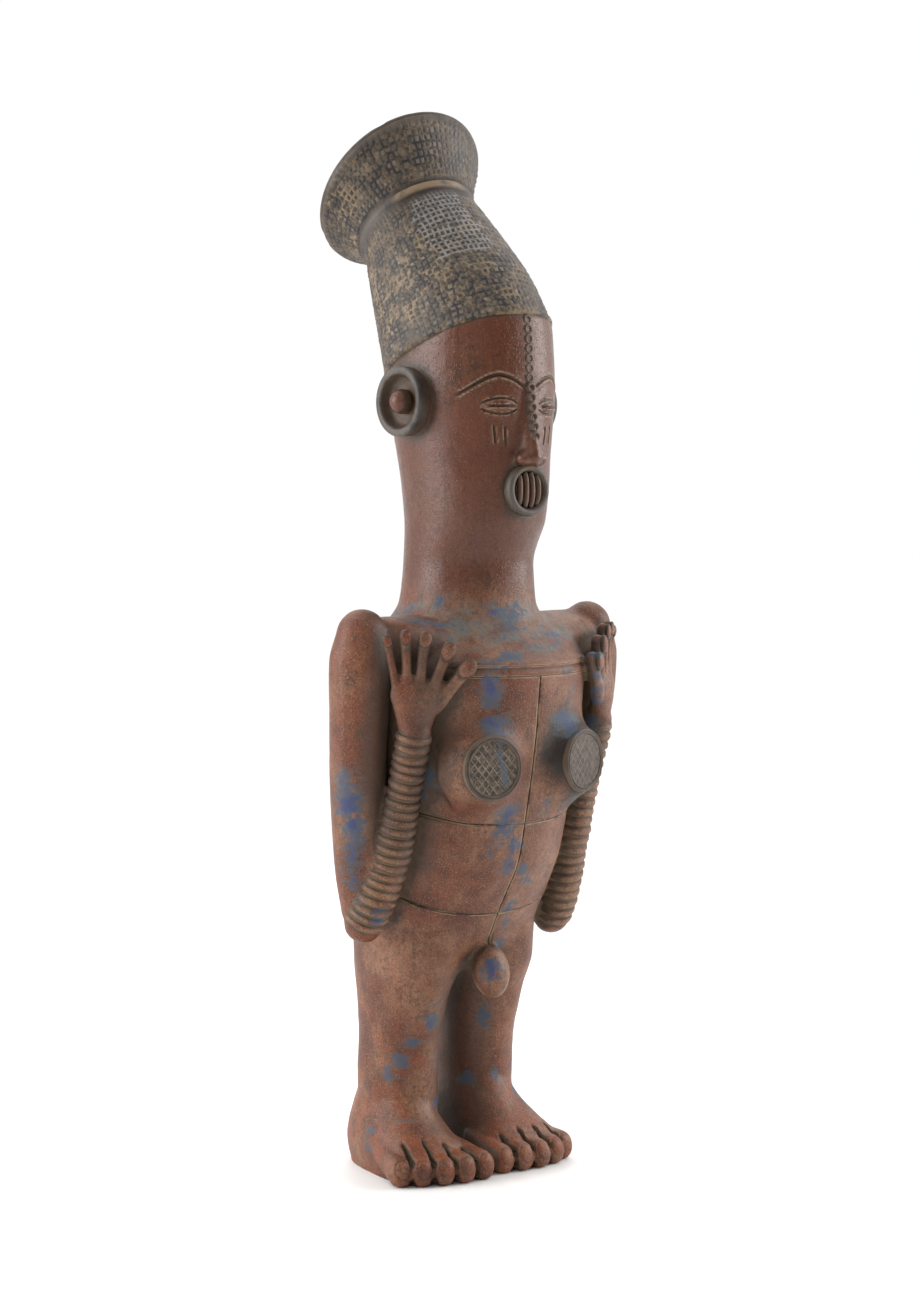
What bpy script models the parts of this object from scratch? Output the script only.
"""A standing figure in one piece of fired clay, with a flared coiffure, hands raised to the
shoulders, banded forearms and broad feet. Metres, +Z up; the figure faces -Y and stands on
z = 0 with the middle of its box at the origin."""

import math

import bmesh
import bpy
from mathutils import Euler, Matrix, Vector

# The one driving size. The figure keeps its pose and proportions at any height, so every
# other size is in units of it, each about a millimetre.
HEIGHT = 0.474
UNIT = HEIGHT / 474

# Points round the largest forms, legs and ornaments, limbs, toes and fingers
LARGE_COUNT, MIDDLE_COUNT, LIMB_COUNT, TOE_COUNT, SMALL_COUNT = 22, 16, 10, 8, 6

# Trunk: height, front line, back line and half width at each station, from crotch to scalp.
# The first lies inside the legs and the last inside the coiffure.
HIPS = ((91, -1, 40, 24), (96, -8, 46, 33.5), (103, -13.8, 50, 41.4), (111, -16.8, 51, 44.6))
BELLY = ((129, -27, 52.5, 46.6), (143, -34.3, 52, 47.6), (185, -43.4, 48.5, 50))
CHEST = ((205, -46.6, 46, 51), (228, -48.5, 43, 52))
YOKE = ((232.5, -46, 42, 51), (240, -39, 39, 46), (248, -31.5, 34, 35))
NECK = ((256, -29.2, 31, 29.6), (274, -29, 29.2, 27.8))
JAW = ((283, -32.5, 28.8, 28.2), (292, -37, 28.6, 28.8))
HEAD = ((306, -38.5, 29.6, 30), (350, -40.8, 38.5, 34))
SCALP = ((372, -40, 40, 33.5), (384, -37.5, 39, 32.5), (392, -20, 34, 24))
TRUNK = HIPS + BELLY + CHEST + YOKE + NECK + JAW + HEAD + SCALP
TRUNK_SQUARENESS = 2.15
GROOVE_HALF, GROOVE_DEPTH, SEAM_TURN = 0.9, 1.1, 1.2
WAIST_LINES, WAIST_LINE_RISE, WAIST_LINE_SPREAD = (118, 159.6), 11, 20
YOKE_LINES = (225, 228.6)
CENTRE_LINE = (100, YOKE_LINES[0] - GROOVE_HALF)

# Bridge of clay across the shoulders: distance out, height, half height and half depth
SHOULDERS = ((0, 237, 12, 27), (30, 238, 12.2, 27), (50, 238.5, 12, 20), (66, 239, 11.6, 12))
SHOULDER_Y = -3

# Each leg: height, distance out, place back, half width and half depth
LEG = ((110, 20.6, 17.4, 20, 31), (94, 21.2, 18.2, 20.2, 28.4), (77, 22.3, 21, 18, 23),
       (52, 22.2, 24.6, 16.5, 20), (36, 22.2, 26, 16.5, 20.2), (6, 22.2, 27, 16, 19))
LEG_SQUARENESS = 2.1
LEG_SWAY, LEG_SWAY_TOP = 3, 112

# Each foot: height, front line, back line, distance out at heel and at toes, and squareness
FOOT = ((-2, -13, 51.3, 37.5, 48.5, 3), (8, -15, 52.2, 39.4, 50, 3), (13, -13, 52.5, 40, 48.8, 2.8),
        (18, -6.5, 52, 40, 46, 2.5), (26, 2, 50, 38.8, 41.5, 2.2), (39, 9, 46, 35, 36, 2))
FOOT_INNER, ANKLE_INNER, ANKLE_START = 2.6, 8.5, 12

# Right and left foot: share of the breadth at the toes, how far forward, and how far askew
FOOT_SPREAD, FOOT_FORWARD, FOOT_ASKEW = {-1: 0.9, 1: 1.03}, {-1: 0, 1: 3}, -4.5

# Right and left toes, from the big toe out: distance from the middle, tip and turn outwards
TOES = {
    -1: ((11, -24, 0), (21.3, -23.2, 4), (31.3, -20.5, 8), (40.3, -16, 11), (48.3, -10.5, 17)),
    1: ((2.6, -22, 0), (12.4, -24, 0), (21.8, -25, 1), (31.2, -24, 2), (39.8, -20.5, 5)),
}

# Each toe: distance back from the tip, half width, half height and height of the middle
TOE = ((0.2, 2, 2.6, 5.6), (1.7, 4.1, 5.2, 5.8), (5.5, 5.3, 6.5, 6.2), (27, 4.2, 5.5, 10.5))
TOE_SQUARENESS = 2.3

# Each arm: distance out, place back, height and radius, from shoulder to elbow to wrist
UPPER_ARM = ((65.5, -7, 243.5, 11), (67, -7, 230, 13), (64.5, -3, 190, 12.6), (59, 2.5, 145, 12),
             (54.5, 6, 118.5, 10.2))
FOREARM = ((56.5, 4, 112.5, 8.6), (55.5, -2, 124, 8.8), (52.8, -11, 147, 8.2), (52.4, -19.8, 176, 7),
           (53, -27, 202, 7))
BANGLE_COUNT, BANGLE_RELIEF = 22, 0.8

# Right and left elbow: how far up and inwards each one is set, easing out between these heights
ELBOW_RISE, ELBOW_INWARD, ELBOW_REACH = {-1: 4, 1: -4}, {-1: 0, 1: 3}, (120, 200)

# Domed end of a limb, as shares of its radius: how far out and how wide
DOME = ((0.92, 0.4), (0.6, 0.8))

# Clay that joins each upper arm to the side: height, distance out, place back and half sizes
ARM_WEB = ((246, 56, -4, 10, 9), (190, 55, -1, 11, 8.5), (140, 50, 4, 10, 7.5), (116, 46, 8, 6, 5))

# Each hand: palm, then each finger's root, tip and radius from thumb to little finger
PALM = ((53.4, -27.5, 203, 6.6, 5), (54, -29.4, 212, 9.4, 4.8), (54, -30.4, 219, 11.6, 4),
        (54, -30.8, 223, 11, 2.2))
PALM_TURN = 32
FINGERS = (
    ((46.5, -34, 214), (36, -42.6, 230.5), 3.1),
    ((49.5, -32.5, 217), (43.2, -38.3, 238), 2.8),
    ((53.5, -30.5, 218), (51.6, -32.6, 243), 2.4),
    ((57.5, -28, 218), (58.5, -28, 244), 2.2),
    ((60.5, -26, 216), (65, -23.4, 242.5), 1.8),
)
# Each finger along its length: share of the way to the tip and share of its radius
FINGER = ((0, 1), (0.7, 0.9), (0.82, 1.25), (1, 1.06))

# Each breast: middle and radius of its disc, base radius and height, and how far it splays
DISC, DISC_RADIUS, BREAST_RADIUS, BREAST_HEIGHT, BREAST_SPLAY = (26.6, -48, 186.5), 13.5, 20, 9.5, 12.5
DISC_BORDER, DISC_SINK, DISC_LEDGE = (0.5, 1.2, 1.7, 2.2), 0.3, 1.8
LOBE, LOBE_SIZE, LOBE_LEAN = (0, -14.5, 91.5), (8.8, 8.2, 12.3), -12

# Each ear ring: middle, radius, width of its rim, depth of its hollow, ball and forward turn
EAR, EAR_RADIUS, EAR_RIM, EAR_HOLLOW, EAR_TURN = (40, 0.5, 343.5), 15.5, 3.4, 4.5, 9
EAR_ROOT, EAR_ROOT_IN, EAR_EDGE = 12, 2, 0.8
EAR_BALL, EAR_BALL_DEEP = 5.5, 3.2

# Face, on thirds between the hairline and the chin
HAIRLINE, CHIN, FACE_HALF = 382.5, 283, 34
BROW = HAIRLINE - (HAIRLINE - CHIN) / 3
NOSE_BASE = BROW - (HAIRLINE - CHIN) / 3
MOUTH = NOSE_BASE - (NOSE_BASE - CHIN) / 3
EYE_LINE = BROW - (BROW - NOSE_BASE) / 4
EYE_HALF = FACE_HALF / 5
NOSE = ((0, 3, 1), (0.35, 3.2, 3), (0.75, 4.6, 6.5), (0.93, 7, 8), (1.02, 5.5, 5))
NOSTRIL, NOSTRIL_SIZE, NOSTRIL_DEEP = (4.6, 2), (3.2, 3.6, 2.8), 3
EYE_SIZE, EYE_DEEP, EYE_TURN = (EYE_HALF, 3, 3.5), 4.8, 24
BROW_PLACES, BROW_RISE, BROW_REACH, BROW_THICK = (4, 11, 18, 24), 4.5, 30, 1.3
MOUTH_RING, MOUTH_RING_THICK, MOUTH_RING_ROOT = 9.3, 1.9, 6
MOUTH_BAR_COUNT, MOUTH_BAR_REACH, MOUTH_BAR_THICK, MOUTH_BAR_SHORT = 4, 4.6, 1.2, 2.6

# Coiffure: place back, height, half width, half depth and backward lean at each station
COIFFURE = ((0.5, 366.5, 34.6, 43, 21.5), (8.8, 384, 33.6, 39.4, 26), (20.2, 402, 31.2, 33.9, 32),
            (32.3, 420, 27.6, 28.4, 38.5))
HAIR_STEP = 2.5
BAND, RIM = (35.2, 423.5, 28, 39.5), (49.2, 442.8, 41, 50.5)
BAND_RELIEF, FLARE_START, FLARE_CURVE, FLARE_COUNT = 0.8, 0.14, 1.35, 4
BAND_PROFILE = ((-1.4, -0.5), (-0.6, 1), (1.8, 1), (2.6, -0.25))
RIM_LIP, DISH_DEPTH = 2.2, 8

# Dish in the top of the flare: share of the rim's radius and share of the depth
DISH = ((1, 0), (0.94, -0.025), (0.9, 0.2), (0.6, 0.8), (0.25, 1))

GROUND_CUT = 30
CLAY = (0.235, 0.088, 0.047, 1)


def between(a, b, t):
    """The number or point a share t of the way from a to b."""
    if isinstance(a, (tuple, list, Vector)):
        return [between(x, y, t) for x, y in zip(a, b)]
    return a + (b - a) * t


def along(stations, t):
    """The station a share t of the way through a row of stations, on straight runs."""
    place = t * (len(stations) - 1)
    step = min(int(place), len(stations) - 2)
    return between(stations[step], stations[step + 1], place - step)


def ring(centre, normal, half_x, half_y, around=LARGE_COUNT, squareness=2.0, angles=None):
    """Points of a rounded outline square to a direction, from its +X side towards the back."""
    normal = Vector(normal).normalized()
    side = Vector((1, 0, 0)) - normal * normal.x
    side = side.normalized() if side.length > 0.3 else Vector((0, 1, 0))
    back = normal.cross(side)
    points = []
    for angle in angles or [math.tau * step / around for step in range(around)]:
        c, s = math.cos(angle), math.sin(angle)
        x = math.copysign(abs(c) ** (2 / squareness), c) * half_x
        y = math.copysign(abs(s) ** (2 / squareness), s) * half_y
        points.append(Vector(centre) + side * x + back * y)
    return points


def add(shape, name):
    """Turns a bmesh in figure units into an object, in metres."""
    bmesh.ops.scale(shape, vec=(UNIT, UNIT, UNIT), verts=shape.verts)
    bmesh.ops.recalc_face_normals(shape, faces=shape.faces)
    mesh = bpy.data.meshes.new(name)
    shape.to_mesh(mesh)
    shape.free()
    body = bpy.data.objects.new(name, mesh)
    bpy.context.scene.collection.objects.link(body)
    return body


def skin(name, rings):
    """A closed body through rings of the same number of points, with flat ends."""
    shape = bmesh.new()
    loops = [[shape.verts.new(point) for point in points] for points in rings]
    for low, high in zip(loops, loops[1:]):
        for i in range(len(low)):
            j = (i + 1) % len(low)
            shape.faces.new((low[i], low[j], high[j], high[i]))
    shape.faces.new(loops[0][::-1])
    shape.faces.new(loops[-1])
    return add(shape, name)


def turned(name, centre, axis, profile, around):
    """A body of revolution through (radius, height along the axis) pairs, with flat ends."""
    axis = Vector(axis).normalized()
    return skin(name, [ring(Vector(centre) + axis * h, axis, r, r, around) for r, h in profile])


def pebble(name, centre, size, turn=(0, 0, 0), around=LIMB_COUNT):
    """An egg shape of the given half sizes, turned by degrees."""
    shape = bmesh.new()
    place = Matrix.Translation(centre) @ Euler([math.radians(a) for a in turn]).to_matrix().to_4x4()
    place = place @ Matrix.Diagonal((*size, 1))
    bmesh.ops.create_uvsphere(shape, u_segments=around, v_segments=around // 2 + 1, radius=1, matrix=place)
    return add(shape, name)


def limb(name, stations, around=LIMB_COUNT):
    """A round limb through (x, y, z, radius) stations, with domed ends."""
    points = [Vector(station[:3]) for station in stations]
    radii = [station[3] for station in stations]
    start = (points[0] - points[1]).normalized()
    finish = (points[-1] - points[-2]).normalized()
    rings = [ring(points[0] + start * radii[0] * out, -start, radii[0] * width, radii[0] * width, around)
             for out, width in DOME]
    for i, (point, radius) in enumerate(zip(points, radii)):
        direction = points[min(i + 1, len(points) - 1)] - points[max(i - 1, 0)]
        rings.append(ring(point, direction, radius, radius, around))
    for out, width in reversed(DOME):
        rings.append(ring(points[-1] + finish * radii[-1] * out, finish, *[radii[-1] * width] * 2, around))
    return skin(name, rings)


def mirrored(point, side):
    return (point[0] * side, *point[1:])


def trunk_station(z):
    """Front line, back line and half width of the trunk at a height."""
    for low, high in zip(TRUNK, TRUNK[1:]):
        if z <= high[0]:
            return between(low[1:], high[1:], (z - low[0]) / (high[0] - low[0]))
    return TRUNK[-1][1:]


def trunk():
    """Hips, belly, chest, yoke, neck and head in one skin, with the incised lines as grooves."""
    rows = {station[0]: 0.0 for station in TRUNK}
    for line in WAIST_LINES + YOKE_LINES:
        rows.update({line - GROOVE_HALF: 0.0, line: GROOVE_DEPTH, line + GROOVE_HALF: 0.0})
    rows.update({CENTRE_LINE[0]: 0.0, CENTRE_LINE[1]: 0.0})
    seam = math.radians(SEAM_TURN)
    front = -math.pi / 2
    angles = [front - seam, front, front + seam]
    angles += [front + math.tau * step / LARGE_COUNT for step in range(1, LARGE_COUNT)]
    rings = []
    for level in sorted(rows):
        nearest = min(abs(level - line) for line in WAIST_LINES)
        rise = WAIST_LINE_RISE * max(0, 1 - nearest / WAIST_LINE_SPREAD)
        points = []
        for angle in angles:
            z = level + rise * (1 - max(0, -math.sin(angle)))
            fore, aft, half = trunk_station(z)
            cut = rows[level]
            points += ring((0, (fore + aft) / 2, z), (0, 0, 1), half - cut, (aft - fore) / 2 - cut,
                           squareness=TRUNK_SQUARENESS, angles=[angle])
        if CENTRE_LINE[0] <= level <= CENTRE_LINE[1]:
            points[1].y += GROOVE_DEPTH
        rings.append(points)
    return skin("statuette", rings)


def shoulders():
    outward = [(x, z, half_z, half_y) for x, z, half_z, half_y in SHOULDERS]
    stations = [(-x, *rest) for x, *rest in reversed(outward[1:])] + outward
    return skin("shoulders", [
        [Vector((x, SHOULDER_Y + half_y * math.cos(a), z + half_z * math.sin(a)))
         for a in (math.tau * step / LIMB_COUNT for step in range(LIMB_COUNT))]
        for x, z, half_z, half_y in stations])


def leg(side):
    return skin("leg", [
        ring((x * side, y, z), (0, 0, 1), half_x, half_y, around=MIDDLE_COUNT, squareness=LEG_SQUARENESS)
        for z, x, y, half_x, half_y in reversed(LEG)])


def foot(side):
    """Heel to toe roots: broader towards the toes, sloping up to the ankle."""
    rings = []
    for z, fore, aft, heel_out, toes_out, squareness in FOOT:
        points = ring((0, 0, z), (0, 0, 1), 1, 1, around=MIDDLE_COUNT, squareness=squareness)
        for point in points:
            forward = (1 - point.y) / 2
            outer = between(heel_out, toes_out * FOOT_SPREAD[side], forward)
            inner = between(FOOT_INNER, ANKLE_INNER, max(0, z - ANKLE_START) / (FOOT[-1][0] - ANKLE_START))
            x = between(inner, outer, (1 + point.x) / 2)
            point.x = x * side + FOOT_ASKEW * forward
            point.y = between(aft, fore - FOOT_FORWARD[side], forward)
        rings.append(points)
    return skin("foot", rings)


def toes(side):
    """Five blunt rolls side by side."""
    made = []
    for x, tip, turn in TOES[side]:
        back = Vector((-math.sin(math.radians(turn)) * side, math.cos(math.radians(turn)), 0))
        made.append(skin("toe", [
            ring(Vector((x * side, tip, middle)) + back * run, back, wide, tall, TOE_COUNT, TOE_SQUARENESS)
            for run, wide, tall, middle in TOE]))
    return made


def at_elbow(stations, side):
    """The same stations on one side, drawn down or up and inwards the nearer they are to the elbow."""
    moved = []
    for x, y, z, r in stations:
        share = min(1, max(0, (ELBOW_REACH[1] - z) / (ELBOW_REACH[1] - ELBOW_REACH[0])))
        moved.append(((x - ELBOW_INWARD[side] * share) * side, y, z + ELBOW_RISE[side] * share, r))
    return moved


def arm(side):
    """Upper arm, forearm with its bangles, palm and five fingers."""
    upper = at_elbow(UPPER_ARM, side)
    rows = []
    for step in range(2 * BANGLE_COUNT + 1):
        x, y, z, r = along(at_elbow(FOREARM, side), step / (2 * BANGLE_COUNT))
        rows.append((x, y, z, r + (BANGLE_RELIEF if step % 2 else 0)))
    made = [limb("upper_arm", upper), limb("forearm", rows, around=TOE_COUNT)]
    made.append(skin("arm_web", [
        ring((x * side, y, z), (0, 0, 1), half_x, half_y, around=LIMB_COUNT)
        for z, x, y, half_x, half_y in ARM_WEB]))
    turn = Matrix.Rotation(math.radians(PALM_TURN * side), 3, "Z")
    made.append(skin("palm", [
        [Vector((x * side, y, z)) + turn @ point
         for point in ring((0, 0, 0), (0, 0, 1), wide, thick, LIMB_COUNT)]
        for x, y, z, wide, thick in PALM]))
    for root, tip, radius in FINGERS:
        root, tip = mirrored(root, side), mirrored(tip, side)
        stations = [(*between(root, tip, t), radius * share) for t, share in FINGER]
        made.append(limb("finger", stations, around=SMALL_COUNT))
    return made


def breast(side):
    """A cone of clay that carries a bordered disc."""
    splay = math.radians(BREAST_SPLAY)
    axis = (math.sin(splay) * side, -math.cos(splay), 0)
    r, base, height = DISC_RADIUS, BREAST_RADIUS, BREAST_HEIGHT
    proud, edge, groove, plate = DISC_BORDER
    profile = ((base, -height), (between(base, r, 0.5), -height * 0.5), (r + 0.8, -DISC_LEDGE), (r, proud),
               (r - edge, proud), (r - groove, -DISC_SINK), (r - plate, DISC_SINK))
    return turned("breast", mirrored(DISC, side), axis, profile, around=MIDDLE_COUNT)


def ear(side):
    """A hollowed ring at the ear with a ball in it."""
    turn = math.radians(EAR_TURN)
    axis = Vector((math.cos(turn) * side, -math.sin(turn), 0))
    centre, r = Vector(mirrored(EAR, side)), EAR_RADIUS
    edge, inner = EAR_EDGE, r - EAR_RIM
    profile = ((r - EAR_ROOT_IN, -EAR_ROOT), (r, -EAR_HOLLOW), (r, -edge), (r - edge, 0), (inner + edge, 0),
               (inner, -edge), (inner - edge, -EAR_HOLLOW))
    ball = pebble("ear_ball", centre - axis * EAR_BALL_DEEP, (EAR_BALL,) * 3, around=TOE_COUNT)
    return [turned("ear", centre, axis, profile, around=MIDDLE_COUNT), ball]


def face():
    """Nose, brows, almond eyes and a ringed mouth with upright bars, all plain and level."""
    def front(z):
        return trunk_station(z)[0]

    def head_face(x, z):
        fore, aft, half = trunk_station(z)
        depth = (aft - fore) / 2
        return fore + depth - depth * (1 - (x / half) ** TRUNK_SQUARENESS) ** (1 / TRUNK_SQUARENESS)

    drop = BROW - NOSE_BASE
    made = [skin("nose", [
        ring((0, front(BROW - drop * t) + 1, BROW - drop * t), (0, 0, 1), half, proud + 1, around=TOE_COUNT)
        for t, half, proud in reversed(NOSE)])]
    for side in (-1, 1):
        eye = (2 * EYE_HALF * side, front(EYE_LINE) + EYE_DEEP, EYE_LINE)
        made.append(pebble("eye", eye, EYE_SIZE, (0, 0, EYE_TURN * side), around=TOE_COUNT))
        nostril = (NOSTRIL[0] * side, front(NOSE_BASE) - NOSTRIL_DEEP, NOSE_BASE + NOSTRIL[1])
        made.append(pebble("nostril", nostril, NOSTRIL_SIZE, around=TOE_COUNT))
        arc = [(x, BROW + BROW_RISE * math.sin(math.pi * x / BROW_REACH)) for x in BROW_PLACES]
        stations = [(x * side, head_face(x, z) + BROW_THICK / 3, z, BROW_THICK) for x, z in arc]
        made.append(limb("brow", stations, around=SMALL_COUNT))
    centre = Vector((0, front(MOUTH) - 1.2, MOUTH))
    thick, outer = MOUTH_RING_THICK, MOUTH_RING + MOUTH_RING_THICK
    profile = ((outer - thick / 2, -MOUTH_RING_ROOT), (outer, -thick / 4), (outer - thick / 2, thick),
               (MOUTH_RING - thick / 4, thick), (MOUTH_RING - thick, 0))
    made.append(turned("mouth_ring", centre, (0, -1, 0), profile, around=MIDDLE_COUNT))
    for i in range(MOUTH_BAR_COUNT):
        x = between(-MOUTH_BAR_REACH, MOUTH_BAR_REACH, i / (MOUTH_BAR_COUNT - 1))
        half = math.sqrt(MOUTH_RING ** 2 - x ** 2) - MOUTH_BAR_SHORT
        ends = [(x, centre.y, MOUTH - half, MOUTH_BAR_THICK), (x, centre.y, MOUTH + half, MOUTH_BAR_THICK)]
        made.append(limb("mouth_bar", ends, around=SMALL_COUNT))
    return made


def coiffure():
    """The swept-back tube, its band, the flare and the shallow dish in its top."""
    def lean_ring(y, z, half_x, half_y, lean, rise=0.0):
        axis = Vector((0, math.sin(math.radians(lean)), math.cos(math.radians(lean))))
        return ring(Vector((0, y, z)) + axis * rise, axis, half_x, half_y)

    y, z, half_x, half_y, lean = COIFFURE[0]
    rings = [lean_ring(y, z, half_x - HAIR_STEP, half_y - HAIR_STEP, lean, -HAIR_STEP)]
    rings += [lean_ring(*station) for station in COIFFURE]
    y, z, r, lean = BAND
    for rise, share in BAND_PROFILE:
        wide = r + BAND_RELIEF * share
        rings.append(lean_ring(y, z, wide, wide, lean, rise))
    for step in range(1, FLARE_COUNT + 1):
        t = between(FLARE_START, 1, step / FLARE_COUNT)
        y, z, _, lean = between(BAND, RIM, t)
        r = between(BAND[2], RIM[2], t ** FLARE_CURVE)
        rings.append(lean_ring(y, z, r, r, lean, -RIM_LIP * t))
    y, z, r, lean = RIM
    for share, deep in DISH:
        rings.append(lean_ring(y, z, r * share, r * share, lean, -DISH_DEPTH * deep))
    return skin("coiffure", rings)


def boolean(target, operation, others):
    """Adds or cuts away closed bodies, then removes them."""
    group = bpy.data.collections.new(operation)
    for other in others:
        group.objects.link(other)
    modifier = target.modifiers.new(operation, "BOOLEAN")
    modifier.operation, modifier.operand_type, modifier.collection = operation, "COLLECTION", group
    bpy.context.view_layer.objects.active = target
    bpy.ops.object.modifier_apply(modifier=modifier.name)
    for other in others:
        bpy.data.objects.remove(other)
    bpy.data.collections.remove(group)


def ground():
    """The block that cuts the soles flat."""
    shape = bmesh.new()
    side = 10 * GROUND_CUT
    bmesh.ops.create_cube(shape, size=1, matrix=Matrix.Translation((0, 0, -GROUND_CUT / 2))
                          @ Matrix.Diagonal((side, side, GROUND_CUT, 1)))
    return add(shape, "ground")


def sway_legs(body):
    """Sets the feet a little to the figure's left, and the legs less and less up to the hips."""
    for vertex in body.data.vertices:
        vertex.co.x += LEG_SWAY * UNIT * max(0, 1 - vertex.co.z / (LEG_SWAY_TOP * UNIT))


def clay():
    material = bpy.data.materials.new("clay")
    material.use_nodes = True
    shader = material.node_tree.nodes["Principled BSDF"]
    shader.inputs["Base Color"].default_value = CLAY
    shader.inputs["Roughness"].default_value = 0.5
    shader.inputs["Metallic"].default_value = 0
    return material


for thing in list(bpy.data.objects):
    bpy.data.objects.remove(thing)

statuette = trunk()
forms = [shoulders(), pebble("lobe", LOBE, LOBE_SIZE, (LOBE_LEAN, 0, 0)), coiffure(), *face()]
for hand in (-1, 1):
    forms += [leg(hand), foot(hand), *toes(hand), *arm(hand), breast(hand), *ear(hand)]
boolean(statuette, "UNION", forms)
sway_legs(statuette)
boolean(statuette, "DIFFERENCE", [ground()])
depths = [vertex.co.y for vertex in statuette.data.vertices]
statuette.data.transform(Matrix.Translation((0, -(min(depths) + max(depths)) / 2, 0)))
statuette.data.materials.append(clay())
statuette.data.shade_smooth()
